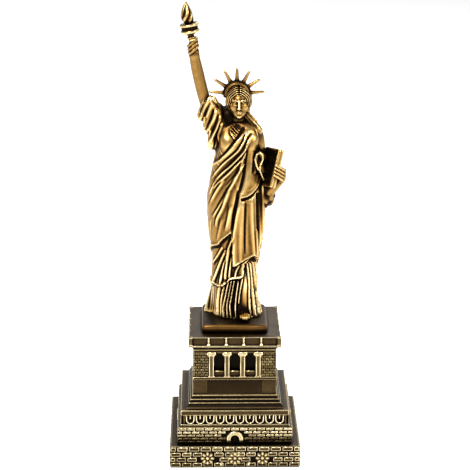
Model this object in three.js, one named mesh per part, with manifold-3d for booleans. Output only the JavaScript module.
// Souvenir landmark model: a robed figure with a raised torch, a rayed crown and a tablet, standing on a
// small plinth on top of a tiered pedestal. Every tier and every piece of the figure is its own casting.
// The tiers are hollow and are pulled together by one tie rod, from the figure's plinth down to a nut under
// the lowest tier. Millimetres, +Z up, front facing -Y, origin at the centre of the underside.
import * as THREE from "three";
import { mergeVertices } from "three/addons/utils/BufferGeometryUtils.js";
import Module from "manifold-3d";

const wasm = await Module();
wasm.setup();

// ---------- driving dimensions ----------
const WALL = 2.5; // thickness of the cast walls
const GAP = 0.3; // sideways clearance where one piece sits inside another

// Heights of the joints between the tiers, from the table up.
const Z_LOWER = 12.5; // top of the lower brick course
const Z_UPPER = 22.5; // top of the upper brick course
const Z_FRIEZE = 31.25; // top of the shield frieze and its cap
const Z_STEPS = 38; // top of the three mouldings
const Z_SHAFT = 63.75; // top of the colonnade
const Z_DECK = 72; // top of the parapet and its deck
const Z_PLINTH = 76.5; // top of the figure's plinth

// Half widths of the tiers, all square in plan.
const HALF_LOWER = 36;
const HALF_UPPER = 31.5;
const HALF_FRIEZE = 29.5;
const HALF_STEPS = 27.25;
const HALF_SHAFT = 22.5;
const HALF_PARAPET = 25;
const HALF_PLINTH = 18;

// Colonnade on each face of the shaft.
const COLUMN_PITCH = 8.5;
const COLUMN_WIDTH = 2.5;
const COLUMNS = 4;
const Z_SHELF = 48.25; // top of the shelf that the columns stand on
const Z_SILL = 51.5; // top of the low wall between the columns
const Z_LINTEL = 62.75; // underside of the lintel over the columns

// Tie rod with its washer and nut.
const ROD_R = 2;
const ROD_HOLE_R = ROD_R + GAP;
const Z_ROD_FOOT = 4.5;
const NUT_ACROSS_FLATS = 7;
const NUT_HEIGHT = 3.25;
const WASHER_R = 6;

// Figure.
const SEAM_Y = 1; // plane where the front and back half of the robed body meet
const HEAD = new THREE.Vector3(2, 0.5, 196.8);
const CROWN = new THREE.Vector3(1.4, 0.6, 200.5);
const CROWN_INNER_R = 6.2;
const CROWN_OUTER_R = 7.2;
const RAYS = 7;
const RAY_TIP_R = 14.6;
const WRIST = new THREE.Vector3(-21.4, 0.6, 220.5);
const ELBOW = new THREE.Vector3(-17.2, 1.6, 199.5);
const FIST = new THREE.Vector3(-22.1, 0, 225.6);
const TORCH_LEAN = THREE.MathUtils.degToRad(9); // the torch leans outward, away from the head
const GALLERY_R = 4.9;
const ELBOW_LEFT = { centre: new THREE.Vector3(17, 0, 144.5), radii: [5.2, 5.6, 7.4] };
const FOREARM_ROOT = new THREE.Vector3(18.2, -2.2, 146.5);
const FOREARM_END = new THREE.Vector3(25.2, -8.6, 157);
const FOREARM_R = 2.3;

// ---------- materials ----------
const metal = (color, roughness) => new THREE.MeshStandardMaterial({ color, roughness, metalness: 1 });
const figureBrass = metal(0xb58a45, 0.38);
const pedestalBrass = metal(0x7d6a42, 0.42);
const steel = metal(0x9a9c9e, 0.35);
const felt = new THREE.MeshStandardMaterial({ color: 0x1f2622, roughness: 0.95, metalness: 0 });
const card = new THREE.MeshStandardMaterial({ color: 0x8c7a60, roughness: 0.9, metalness: 0 });

// ---------- solids ----------
function solid(geometry) {
  const g = geometry.clone();
  g.deleteAttribute("normal");
  g.deleteAttribute("uv");
  const merged = mergeVertices(g, 1e-4);
  return new wasm.Manifold(
    new wasm.Mesh({
      numProp: 3,
      vertProperties: new Float32Array(merged.attributes.position.array),
      triVerts: new Uint32Array(merged.index.array),
    }),
  );
}

function geometryOf(made) {
  const mesh = made.getMesh();
  const g = new THREE.BufferGeometry();
  g.setAttribute("position", new THREE.BufferAttribute(new Float32Array(mesh.vertProperties), 3));
  g.setIndex(new THREE.BufferAttribute(new Uint32Array(mesh.triVerts), 1));
  g.computeVertexNormals();
  return g;
}

const joined = (parts) => parts.reduce((a, b) => a.add(b));

// A box with its underside at z0, centred on (x, y).
function box(width, depth, z0, z1, x = 0, y = 0) {
  return solid(new THREE.BoxGeometry(width, depth, z1 - z0).translate(x, y, (z0 + z1) / 2));
}

// A square tier that may taper, from z0 to z1.
function tier(halfBottom, halfTop, z0, z1) {
  const g = new THREE.CylinderGeometry(halfTop * Math.SQRT2, halfBottom * Math.SQRT2, z1 - z0, 4);
  return solid(g.rotateY(Math.PI / 4).rotateX(Math.PI / 2).translate(0, 0, (z0 + z1) / 2));
}

// An upright cylinder or cone.
function rod(rBottom, rTop, z0, z1, sides = 16) {
  const g = new THREE.CylinderGeometry(rTop, rBottom, z1 - z0, sides);
  return solid(g.rotateX(Math.PI / 2).translate(0, 0, (z0 + z1) / 2));
}

// A limb from a to b, with rounded ends where asked.
function limb(a, b, ra, rb, sides = 14) {
  const along = new THREE.Vector3().subVectors(b, a);
  const turn = new THREE.Quaternion().setFromUnitVectors(new THREE.Vector3(0, 1, 0), along.clone().normalize());
  const middle = new THREE.Vector3().addVectors(a, b).multiplyScalar(0.5);
  return solid(
    new THREE.CylinderGeometry(rb, ra, along.length(), sides).applyQuaternion(turn).translate(...middle),
  );
}

function ball(centre, rx, ry, rz, detail = 14) {
  const g = new THREE.SphereGeometry(1, detail, Math.round(detail * 0.7));
  return solid(g.rotateX(Math.PI / 2).scale(rx, ry, rz).translate(...centre));
}

// A flat outline in X and Z, from y0 back to y1.
function plate(shape, y0, y1, segments = 8) {
  const g = new THREE.ExtrudeGeometry(shape, { depth: y1 - y0, bevelEnabled: false, curveSegments: segments });
  return solid(g.rotateX(Math.PI / 2).translate(0, y1, 0));
}

// The same piece on all four faces.
function aroundFour(made) {
  return joined([0, 90, 180, 270].map((angle) => made.rotate([0, 0, angle])));
}

// Blends through rings of points: each ring is {z, left, right, front, back}, and n points go round it.
function loft(rings, n, flute = () => 0, power = 2.3) {
  const points = [];
  const round = (v) => Math.sign(v) * Math.abs(v) ** (2 / power);
  rings.forEach(({ z, left, right, front, back }) => {
    for (let i = 0; i < n; i++) {
      const angle = (2 * Math.PI * i) / n;
      const grow = 1 + flute(angle, z);
      points.push(
        (left + right) / 2 + ((right - left) / 2) * round(Math.cos(angle)) * grow,
        (front + back) / 2 + ((back - front) / 2) * round(Math.sin(angle)) * grow,
        z,
      );
    }
  });
  const faces = [];
  const last = rings.length - 1;
  for (let k = 0; k < last; k++)
    for (let i = 0; i < n; i++) {
      const [a, b] = [k * n + i, k * n + ((i + 1) % n)];
      faces.push(a, b, b + n, a, b + n, a + n);
    }
  for (let i = 1; i < n - 1; i++) {
    faces.push(0, i + 1, i);
    faces.push(last * n, last * n + i, last * n + i + 1);
  }
  const g = new THREE.BufferGeometry();
  g.setAttribute("position", new THREE.BufferAttribute(new Float32Array(points), 3));
  g.setIndex(faces);
  return solid(g);
}

// ---------- assembly ----------
const model = new THREE.Group();
model.name = "landmark_souvenir";

function add(name, made, material) {
  const mesh = new THREE.Mesh(geometryOf(made), material);
  mesh.name = name;
  model.add(mesh);
}

const rodHole = (z0, z1) => rod(ROD_HOLE_R, ROD_HOLE_R, z0 - 1, z1 + 1);

// A square pad on top of a tier that drops into the hollow of the tier above and keeps it square.
const locatingPad = (half, z) => tier(half, half - GAP, z - 0.5, z + 1.25);

// ---------- pedestal ----------
const HALF_UPPER_HOLLOW = HALF_UPPER - WALL;
const HALF_FRIEZE_HOLLOW = HALF_FRIEZE - 2 * WALL;
const HALF_STEPS_HOLLOW = 19;
const HALF_SHAFT_HOLLOW = HALF_SHAFT - 2 * WALL;
const POCKET_DEPTH = 3.5; // the pockets between the columns are blind

// The outline of an eight-petalled rosette, the raised ornament on the lower course.
function rosette(radius, x, z) {
  const petals = 8;
  const steps = petals * 4;
  const shape = new THREE.Shape();
  for (let i = 0; i < steps; i++) {
    const angle = (2 * Math.PI * i) / steps;
    const r = radius * (0.87 + 0.13 * Math.cos(petals * angle));
    if (i) shape.lineTo(x + r * Math.cos(angle), z + r * Math.sin(angle));
    else shape.moveTo(x + r * Math.cos(angle), z + r * Math.sin(angle));
  }
  shape.closePath();
  return shape;
}

function lowerCourse() {
  const ornamentRadius = 4.25;
  const ornamentPitch = 13.75;
  const proud = 0.5;
  const half = HALF_LOWER - proud;
  const hollow = half - WALL;
  const boss = 6;
  let made = tier(half, half - 0.25, 0, Z_LOWER).add(locatingPad(HALF_UPPER_HOLLOW - GAP, Z_LOWER));
  made = made.subtract(tier(hollow, hollow, -1, Z_LOWER - WALL));
  for (const [sx, sy] of [[-1, -1], [-1, 1], [1, -1], [1, 1]]) {
    const at = hollow - boss / 2 + 0.5;
    made = made.add(box(boss, boss, 2.25, Z_LOWER - WALL + 0.5, sx * at, sy * at));
  }
  const ornaments = [-1, 0, 1].map((k) =>
    plate(rosette(ornamentRadius, k * ornamentPitch, Z_LOWER / 2), -HALF_LOWER, -half + 1),
  );
  return made.add(aroundFour(joined(ornaments))).subtract(rodHole(0, Z_LOWER + 2));
}

// A doorway outline, round at the top.
function doorway(halfWidth, z0, springing) {
  const shape = new THREE.Shape();
  shape.moveTo(-halfWidth, z0);
  shape.lineTo(halfWidth, z0);
  shape.lineTo(halfWidth, springing);
  shape.absarc(0, springing, halfWidth, 0, Math.PI, false);
  shape.closePath();
  return shape;
}

function upperCourse() {
  const ledge = 21.75;
  const springing = 16.25;
  const doorHalf = 2;
  const frameHalf = 4.4;
  const body = tier(HALF_UPPER, HALF_UPPER, Z_LOWER, ledge).add(
    tier(HALF_UPPER, HALF_FRIEZE + 0.25, ledge, Z_UPPER),
  );
  const frame = plate(doorway(frameHalf, Z_LOWER + 0.5, springing), -HALF_UPPER - 0.5, -HALF_UPPER + 1, 10);
  const door = plate(doorway(doorHalf, Z_LOWER - 1, springing), -HALF_UPPER - 2, -HALF_UPPER_HOLLOW + 1, 8);
  return body
    .add(aroundFour(frame))
    .add(locatingPad(HALF_FRIEZE_HOLLOW - GAP, Z_UPPER))
    .subtract(tier(HALF_UPPER_HOLLOW, HALF_UPPER_HOLLOW, Z_LOWER - 1, Z_UPPER - WALL))
    .subtract(aroundFour(door))
    .subtract(rodHole(Z_LOWER, Z_UPPER + 2));
}

function shieldFrieze() {
  const capFoot = 28.25;
  const shields = 10;
  const pitch = 5.5;
  const depth = 0.75;
  const panelHalf = 27.75;
  const panel = box(2 * panelHalf, 2, Z_UPPER + 0.5, capFoot, 0, -HALF_FRIEZE - 0.25 - 1 + depth);
  const shieldRow = [];
  for (let k = 0; k < shields; k++) {
    const shape = new THREE.Shape();
    const x = (k - (shields - 1) / 2) * pitch;
    shape.moveTo(x + 2, capFoot + 0.25);
    shape.lineTo(x - 2, capFoot + 0.25);
    shape.absarc(x, 25.6, 2, Math.PI, 2 * Math.PI, false);
    shape.closePath();
    shieldRow.push(plate(shape, -HALF_FRIEZE - 0.1, -HALF_FRIEZE + 1.5, 3));
  }
  return tier(HALF_FRIEZE + 0.25, HALF_FRIEZE + 0.25, Z_UPPER, capFoot)
    .add(tier(HALF_FRIEZE, HALF_FRIEZE, capFoot - 0.5, Z_FRIEZE))
    .subtract(aroundFour(panel))
    .add(aroundFour(joined(shieldRow)))
    .add(locatingPad(HALF_STEPS_HOLLOW - GAP, Z_FRIEZE))
    .subtract(tier(HALF_FRIEZE_HOLLOW, HALF_FRIEZE_HOLLOW, Z_UPPER - 1, Z_FRIEZE - WALL))
    .subtract(rodHole(Z_UPPER, Z_FRIEZE + 2));
}

function steppedPlinth() {
  const mouldings = [
    tier(HALF_STEPS, 25.25, Z_FRIEZE, 33.5),
    tier(25, 25, 33.25, 34.25),
    tier(24.1, 24.1, 33.5, 36),
    tier(23.3, 23.3, 35.5, Z_STEPS),
  ];
  return joined(mouldings)
    .add(locatingPad(HALF_SHAFT_HOLLOW - GAP, Z_STEPS))
    .subtract(tier(HALF_STEPS_HOLLOW, HALF_STEPS_HOLLOW, Z_FRIEZE - 1, Z_STEPS - WALL))
    .subtract(rodHole(Z_FRIEZE, Z_STEPS + 2));
}

function pedestalShaft() {
  const shelfFoot = 46.5;
  const capital = { width: 4.9, foot: 61, proud: 0.5 };
  const columnX = (k) => (k - (COLUMNS - 1) / 2) * COLUMN_PITCH;
  const openings = [];
  const capitals = [];
  for (let k = 0; k < COLUMNS; k++) {
    capitals.push(
      box(capital.width, 2, capital.foot, Z_LINTEL + 0.25, columnX(k), -HALF_SHAFT - capital.proud + 1),
    );
    if (k === COLUMNS - 1) continue;
    const x = columnX(k) + COLUMN_PITCH / 2;
    const width = COLUMN_PITCH - COLUMN_WIDTH;
    openings.push(box(width, 3, Z_SHELF, Z_LINTEL, x, -HALF_SHAFT - 0.25));
    openings.push(box(width, 2 * POCKET_DEPTH, Z_SILL, Z_LINTEL, x, -HALF_SHAFT));
  }
  return tier(HALF_SHAFT, HALF_SHAFT, Z_STEPS, Z_SHAFT)
    .add(tier(HALF_SHAFT + 0.6, HALF_SHAFT + 0.6, shelfFoot, Z_SHELF))
    .subtract(tier(HALF_SHAFT_HOLLOW, HALF_SHAFT_HOLLOW, Z_STEPS - 1, Z_SHAFT + 1))
    .subtract(aroundFour(joined(openings)))
    .add(aroundFour(joined(capitals)).subtract(tier(HALF_SHAFT - 1, HALF_SHAFT - 1, 50, 70)));
}

function parapet() {
  const corniceTop = 66.5;
  const railTop = 67.5;
  const panelHalf = 24.25;
  const hollow = HALF_SHAFT_HOLLOW - GAP - WALL;
  const posts = { pitch: 9.5, width: 1.25, foot: 2.25 };
  const row = [];
  for (let k = 0; k < 4; k++) {
    const x = (k - 1.5) * posts.pitch;
    row.push(box(posts.width, 1.5, corniceTop, Z_DECK - 0.25, x, -panelHalf));
    row.push(box(posts.foot, 2, railTop - 0.25, railTop + 0.75, x, -panelHalf));
  }
  const corner = box(2.25, 2.25, corniceTop, Z_DECK, HALF_PARAPET - 1.125, HALF_PARAPET - 1.125);
  return tier(HALF_SHAFT + 0.1, HALF_PARAPET - 0.1, Z_SHAFT, corniceTop)
    .add(tier(HALF_PARAPET, HALF_PARAPET, corniceTop - 0.25, railTop))
    .add(tier(panelHalf, panelHalf, corniceTop, Z_DECK))
    .add(aroundFour(joined(row)))
    .add(aroundFour(corner))
    .add(tier(HALF_SHAFT_HOLLOW - GAP, HALF_SHAFT_HOLLOW - GAP, Z_SHAFT - 1.25, Z_SHAFT + 0.5))
    .subtract(tier(hollow, hollow, Z_SHAFT - 2, Z_DECK - WALL))
    .subtract(rodHole(Z_SHAFT, Z_DECK));
}

// The two screws that hold the halves of the robe down on the plinth.
const SCREW = { x: 1.5, front: -5, back: 7, r: 1.25, headR: 2.3, headHeight: 1.25, length: 6.5 };
const SCREW_Z = Z_DECK + 0.25; // underside of the screw heads

function screwHoles() {
  const top = SCREW_Z + SCREW.headHeight + SCREW.length + 0.5;
  const hole = rod(SCREW.headR + GAP, SCREW.headR + GAP, Z_DECK - 1, SCREW_Z + SCREW.headHeight + 0.25).add(
    rod(SCREW.r + GAP, SCREW.r + GAP, Z_DECK, top),
  );
  return hole.translate([SCREW.x, SCREW.front, 0]).add(hole.translate([SCREW.x, SCREW.back, 0]));
}

function figureScrew(y) {
  const seat = SCREW_Z + SCREW.headHeight;
  const hexagon = rod(SCREW.r, SCREW.r, SCREW_Z - 1, SCREW_Z + 0.75, 6);
  return rod(SCREW.headR, SCREW.headR, SCREW_Z, seat, 18)
    .add(rod(SCREW.r, SCREW.r, seat - 0.5, seat + SCREW.length, 12))
    .subtract(hexagon)
    .translate([SCREW.x, y, 0]);
}

function figurePlinth() {
  const rounding = 0.75;
  return tier(HALF_PLINTH, HALF_PLINTH, Z_DECK, Z_PLINTH - rounding)
    .add(tier(HALF_PLINTH, HALF_PLINTH - rounding, Z_PLINTH - rounding, Z_PLINTH))
    .subtract(rod(ROD_HOLE_R, ROD_HOLE_R, Z_DECK - 1, Z_PLINTH - 0.75))
    .subtract(screwHoles());
}

add("lower_brick_course", lowerCourse(), pedestalBrass);
add("upper_brick_course", upperCourse(), pedestalBrass);
add("shield_frieze", shieldFrieze(), pedestalBrass);
add("stepped_plinth", steppedPlinth(), pedestalBrass);
add("pedestal_shaft", pedestalShaft(), pedestalBrass);
add("parapet", parapet(), pedestalBrass);
add("figure_plinth", figurePlinth(), figureBrass);
add("figure_screw_front", figureScrew(SCREW.front), steel);
add("figure_screw_back", figureScrew(SCREW.back), steel);

// ---------- tie rod and underside ----------
const zBearing = Z_LOWER - WALL; // underside of the lower course's top wall
const zWasher = zBearing - 1;
const zNut = zWasher - NUT_HEIGHT;
const HALF_PAD = HALF_LOWER - 0.5 - WALL - GAP;
add("tie_rod", rod(ROD_R, ROD_R, Z_ROD_FOOT, Z_PLINTH - 1, 16), steel);
add("tie_rod_washer", rod(WASHER_R, WASHER_R, zWasher, zBearing, 20).subtract(rodHole(zWasher, zBearing)), steel);
add(
  "tie_rod_nut",
  rod(NUT_ACROSS_FLATS / Math.sqrt(3), NUT_ACROSS_FLATS / Math.sqrt(3), zNut, zWasher, 6).subtract(
    rodHole(zNut, zWasher),
  ),
  steel,
);
add("backing_card", tier(HALF_PAD, HALF_PAD, 1, 2), card);
add("felt_pad", tier(HALF_PAD, HALF_PAD, 0, 1), felt);

// ---------- robed body, hollow and in two halves ----------
const ring = (z, left, right, front, back) => ({ z, left, right, front, back });
const ROBE = [
  ring(Z_PLINTH, -13.5, 16.5, -9.5, 12),
  ring(81, -12.8, 15.6, -9.3, 11.5),
  ring(85, -12.6, 14.4, -9, 11),
  ring(90, -12.4, 13.4, -8.6, 10.4),
  ring(97, -13.4, 14, -8.6, 10.2),
  ring(107, -12.7, 14.2, -8.6, 10),
  ring(119, -12.6, 14.8, -8.8, 9.8),
  ring(130, -13.2, 15.4, -9, 9.6),
  ring(139, -14.4, 15.6, -9.2, 9.4),
  ring(147, -13.8, 15, -9, 9.2),
  ring(154, -13.2, 14.2, -8.8, 8.6),
  ring(160, -11.6, 13.2, -8.4, 8),
  ring(166, -9.6, 12.6, -7.8, 7.4),
  ring(172, -9, 12.6, -8.6, 7.4),
  ring(178, -9.4, 13.2, -7.4, 7.6),
  ring(182, -9, 12.4, -5.6, 7),
  ring(185, -7.2, 10.4, -4.4, 6.2),
  ring(187.5, -3.8, 7.4, -3.6, 5.4),
];
const pleats = (angle, z) => 0.035 * Math.cos(11 * angle) * THREE.MathUtils.clamp((190 - z) / 110, 0.15, 1);

// Where the front of the robe lies at a given x and z.
function frontOfRobe(x, z) {
  const k = Math.max(1, ROBE.findIndex((r) => r.z >= z));
  const [a, b] = [ROBE[k - 1], ROBE[k]];
  const t = (z - a.z) / (b.z - a.z);
  const at = (side) => a[side] + t * (b[side] - a[side]);
  const u = Math.abs((x - (at("left") + at("right")) / 2) / ((at("right") - at("left")) / 2));
  const power = 2.3;
  const bulge = (1 - Math.min(u, 0.97) ** power) ** (1 / power);
  return (at("front") + at("back")) / 2 - ((at("back") - at("front")) / 2) * bulge;
}

// A raised fold that follows the front of the robe through points of x and z.
function fold(points, radius) {
  const flat = new THREE.SplineCurve(points.map(([x, z]) => new THREE.Vector2(x, z)));
  const path = new THREE.CatmullRomCurve3(
    flat.getPoints(7).map(({ x, y: z }) => new THREE.Vector3(x, frontOfRobe(x, z) + 0.25 * radius, z)),
  );
  const section = new THREE.Shape();
  section.absarc(0, 0, radius, 0, 2 * Math.PI, false);
  const g = new THREE.ExtrudeGeometry(section, {
    steps: 8,
    curveSegments: 3,
    bevelEnabled: false,
    extrudePath: path,
  });
  return solid(g);
}

// The mantle over the robe: a bundle of folds from the left shoulder round to the right hip, a fan of folds
// falling from them, and the hem that closes the fan.
const MANTLE_FOLDS = [
  [[[9, 181], [4, 171], [-4, 160], [-12, 149]], 1.5],
  [[[10.5, 176], [5.5, 166], [-2, 156], [-11.5, 143]], 1.5],
  [[[11, 169], [5, 159], [-2, 149], [-11.5, 137]], 1.4],
  [[[9, 160], [3, 149], [-4, 135], [-11.5, 122]], 1.3],
  [[[8, 155], [3, 140], [-3, 124], [-9.5, 107]], 1.3],
  [[[9.5, 150], [6, 136], [2, 120], [-3.5, 102]], 1.3],
  [[[12.5, 157], [12, 143], [10.5, 124], [10.5, 101]], 1.5],
  [[[7.5, 134], [6, 122], [5.5, 108], [5.5, 95]], 1.2],
  [[[-12, 103], [-7.5, 105], [-1, 101], [5, 91], [10.5, 94]], 1.2],
];

function robedBody() {
  const thickness = 2.2;
  const floor = 4;
  const inside = ROBE.filter(({ z }) => z < 180).map((r, k) =>
    ring(
      k ? r.z : r.z + floor,
      r.left + thickness,
      r.right - thickness,
      r.front + thickness,
      r.back - thickness,
    ),
  );
  const trailingHem = limb(new THREE.Vector3(-13.5, 8, Z_PLINTH + 0.25), new THREE.Vector3(-10, 7, 92), 4.4, 2.6);
  const rightShoulder = limb(new THREE.Vector3(-7, 1, 178), new THREE.Vector3(-13.6, 1.4, 193.5), 5.6, 4.6);
  const hangingSleeve = ball(new THREE.Vector3(-12, 1, 181), 4.8, 5, 11.5);
  const leftUpperArm = limb(new THREE.Vector3(11.4, 2, 181), new THREE.Vector3(15, 1.5, 155), 4.2, 4.6);
  const leftElbow = ball(ELBOW_LEFT.centre, ...ELBOW_LEFT.radii);
  const armDrape = limb(new THREE.Vector3(14.6, -2, 150), new THREE.Vector3(14.8, -1, 124), 3.4, 2.2);
  const neckSocket = rod(3.2, 3.2, 183, 192).translate([HEAD.x, HEAD.y + 1, 0]);
  const armSocket = limb(new THREE.Vector3(-13.4, 1.6, 188), ELBOW, 3.1, 3.1);
  const forearmSocket = limb(FOREARM_ROOT, FOREARM_END, FOREARM_R + GAP, FOREARM_R + GAP);
  return joined([
    loft(ROBE, 44, pleats),
    trailingHem,
    rightShoulder,
    hangingSleeve,
    leftUpperArm,
    leftElbow,
    armDrape,
    ...MANTLE_FOLDS.map(([points, radius]) => fold(points, radius)),
  ])
    .subtract(tier(40, 40, 60, Z_PLINTH))
    .subtract(loft(inside, 24))
    .subtract(neckSocket)
    .subtract(armSocket)
    .subtract(forearmSocket)
    .subtract(screwHoles());
}

const robe = robedBody();
const half = (y0, y1) => box(80, y1 - y0, 60, 220, 0, (y0 + y1) / 2);
add("robe_front", robe.intersect(half(-30, SEAM_Y - GAP / 2)), figureBrass);
add("robe_back", robe.intersect(half(SEAM_Y + GAP / 2, 31)), figureBrass);

// ---------- head and crown ----------
function head() {
  const skull = ball(HEAD, 5.7, 6.6, 7.6, 20);
  const jaw = ball(new THREE.Vector3(HEAD.x, HEAD.y - 2, HEAD.z - 3.2), 4.5, 4.4, 5.4, 14);
  const nose = limb(
    new THREE.Vector3(HEAD.x, HEAD.y - 5.9, HEAD.z + 1.5),
    new THREE.Vector3(HEAD.x, HEAD.y - 6.9, HEAD.z - 2.2),
    0.6,
    1,
    8,
  );
  const knot = ball(new THREE.Vector3(HEAD.x, HEAD.y + 6.4, HEAD.z + 0.5), 3, 2.6, 3, 12);
  const neck = limb(
    new THREE.Vector3(HEAD.x, HEAD.y + 1, 184),
    new THREE.Vector3(HEAD.x, HEAD.y + 0.5, 192),
    3.2 - GAP,
    3.2 - GAP,
  );
  const band = plate(annulus(CROWN_OUTER_R + 8, CROWN_INNER_R - 1.2), CROWN.y - 1.5, CROWN.y + 1.5, 16);
  return joined([skull, jaw, nose, knot, neck]).subtract(band);
}

// A half ring in X and Z over the crown's centre.
function annulus(outer, inner) {
  const shape = new THREE.Shape();
  shape.absarc(CROWN.x, CROWN.z, outer, 0, Math.PI, false);
  shape.absarc(CROWN.x, CROWN.z, inner, Math.PI, 0, true);
  shape.closePath();
  return shape;
}

function crown() {
  const depth = 1.2;
  const band = plate(annulus(CROWN_OUTER_R, CROWN_INNER_R - 0.9), CROWN.y - depth, CROWN.y + depth, 16);
  const rays = [];
  for (let k = 0; k < RAYS; k++) {
    const angle = (Math.PI * k) / (RAYS - 1);
    const [c, s] = [Math.cos(angle), Math.sin(angle)];
    const at = (r) => new THREE.Vector3(CROWN.x + r * c, CROWN.y, CROWN.z + 0.9 + r * s);
    rays.push(limb(at(CROWN_OUTER_R - 1.6), at(RAY_TIP_R), 1.15, 0.4, 8));
  }
  return joined([band, ...rays]);
}

add("head", head(), figureBrass);
add("rayed_crown", crown(), figureBrass);

// ---------- raised arm, torch and flame ----------
// Places a piece made upright on the origin at the fist, leaning outward.
const onTorch = (made) => made.rotate([0, THREE.MathUtils.radToDeg(-TORCH_LEAN), 0]).translate(FIST.toArray());
const HANDLE_R = 1.3;

function raisedArm() {
  const spigot = limb(
    new THREE.Vector3().lerpVectors(new THREE.Vector3(-13.4, 1.6, 188), ELBOW, 0.15),
    ELBOW,
    3.1 - GAP,
    3.1 - GAP,
  );
  const elbow = ball(ELBOW, 2.75, 2.75, 2.9);
  const forearm = limb(ELBOW, WRIST, 3, 2.5);
  const wrist = ball(WRIST, 2.55, 2.5, 2.7);
  const fist = ball(FIST, 3.2, 3, 3.6);
  const bore = onTorch(rod(HANDLE_R + GAP, HANDLE_R + GAP, -3, 9));
  return joined([spigot, elbow, forearm, wrist, fist]).subtract(bore);
}

function torch() {
  // Radius and height of the handle, the cup and the round gallery, from the fist up.
  const profile = [
    [0, -2.5], [HANDLE_R, -2.5], [HANDLE_R, 3.4], [1.5, 4.4], [2.2, 5.2], [1.8, 6], [2, 7], [GALLERY_R - 0.9, 8],
    [GALLERY_R, 8.7], [GALLERY_R - 0.2, 9.5], [GALLERY_R - 0.7, 9.9], [GALLERY_R - 0.7, 11.4], [GALLERY_R, 11.9],
    [GALLERY_R, 12.7], [GALLERY_R - 0.9, 13.1], [GALLERY_R - 1.5, 12.4], [1.5, 12.4], [0, 12.4],
  ].map(([r, z]) => new THREE.Vector2(r, z));
  return onTorch(solid(new THREE.LatheGeometry(profile, 20).rotateX(Math.PI / 2)));
}

function flame() {
  // Radius, height and sideways drift of the flame's rings.
  const foot = 12.6;
  const rings = [
    [1.4, 0, 0], [2.7, 1.8, -0.2], [3.2, 4.2, -0.5], [2.9, 6.2, -0.5], [2.1, 8.2, -0.4], [1.2, 10.2, -0.1],
    [0.3, 12.05, 0.4],
  ].map(([r, z, drift]) => ring(foot + z, drift - r, drift + r, -r, r));
  const tongues = (angle, z) => 0.12 * Math.cos(5 * angle + 0.35 * z);
  return onTorch(loft(rings, 20, tongues, 2));
}

add("raised_arm", raisedArm(), figureBrass);
add("torch", torch(), figureBrass);
add("torch_flame", flame(), figureBrass);

// ---------- left forearm and tablet ----------
const TABLET = { width: 14, height: 21, thickness: 3, centre: new THREE.Vector3(20.6, -2.6, 159.5) };
const TABLET_TURN = 62; // degrees about Z, so that the tablet is seen nearly edge-on from the front
const TABLET_LEAN = 9; // degrees, top outward

const placeTablet = (made) =>
  made.rotate([0, TABLET_LEAN, 0]).rotate([0, 0, -TABLET_TURN]).translate(TABLET.centre.toArray());

function tabletSlab(grow = 0) {
  const { width, height, thickness } = TABLET;
  const corner = 1;
  const shape = new THREE.Shape();
  const [w, h] = [width / 2 + grow, height / 2 + grow];
  shape.moveTo(-w + corner, -h);
  shape.lineTo(w - corner, -h);
  shape.lineTo(w, -h + corner);
  shape.lineTo(w, h - corner);
  shape.lineTo(w - corner, h);
  shape.lineTo(-w + corner, h);
  shape.lineTo(-w, h - corner);
  shape.lineTo(-w, -h + corner);
  shape.closePath();
  return placeTablet(plate(shape, -thickness / 2 - grow, thickness / 2 + grow));
}

const forearmLimb = (grow) => limb(FOREARM_ROOT, FOREARM_END, FOREARM_R + grow, FOREARM_R + grow);

function leftForearm() {
  const hand = ball(new THREE.Vector3(25.4, -9, 158.4), 3.1, 3.4, 4.4).subtract(tabletSlab(GAP));
  return forearmLimb(0).add(hand);
}

function tablet() {
  const elbow = ball(ELBOW_LEFT.centre, ...ELBOW_LEFT.radii.map((r) => r + GAP));
  return tabletSlab().subtract(forearmLimb(GAP)).subtract(robe).subtract(elbow);
}

add("left_forearm", leftForearm(), figureBrass);
add("tablet", tablet(), figureBrass);

export default model;
